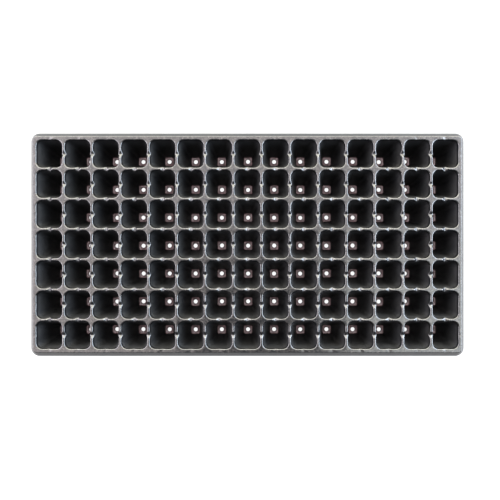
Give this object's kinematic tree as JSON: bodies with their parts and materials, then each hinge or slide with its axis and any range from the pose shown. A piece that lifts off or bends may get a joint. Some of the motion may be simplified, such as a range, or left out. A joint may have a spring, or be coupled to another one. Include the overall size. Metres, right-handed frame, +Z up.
{
  "type": "plug tray",
  "caption": "Black vacuum-formed plug tray: a grid of tapered square cells with drain holes, notched ridges, a flat deck and a flared skirt",
  "frame": {"origin": "on the bench surface, under the middle of the tray", "axes": "X along the tray's length (15 cells), Y across its width (7 cells) from front to back, Z up out of the cells"},
  "size_m": [0.54, 0.278, 0.044],
  "materials": {
    "black_sheet": "semi-gloss black vacuum-formed sheet",
    "drawn_sheet": "semi-gloss black sheet drawn thin, so it looks brown-grey"
  },
  "bodies": {
    "root": {"cell_walls_row_1": "black_sheet", "cell_walls_row_2": "black_sheet", "cell_walls_row_3": "black_sheet", "cell_walls_row_4": "black_sheet", "cell_walls_row_5": "black_sheet", "cell_walls_row_6": "black_sheet", "cell_walls_row_7": "black_sheet", "cell_floors_row_1": "drawn_sheet", "cell_floors_row_2": "drawn_sheet", "cell_floors_row_3": "drawn_sheet", "cell_floors_row_4": "drawn_sheet", "cell_floors_row_5": "drawn_sheet", "cell_floors_row_6": "drawn_sheet", "cell_floors_row_7": "drawn_sheet", "deck_front": "black_sheet", "deck_back": "black_sheet", "deck_left": "black_sheet", "deck_right": "black_sheet", "skirt_front": "black_sheet", "skirt_back": "black_sheet", "skirt_left": "black_sheet", "skirt_right": "black_sheet", "skirt_corner_front_left": "black_sheet", "skirt_corner_front_right": "black_sheet", "skirt_corner_back_left": "black_sheet", "skirt_corner_back_right": "black_sheet"}
  },
  "joints": []
}
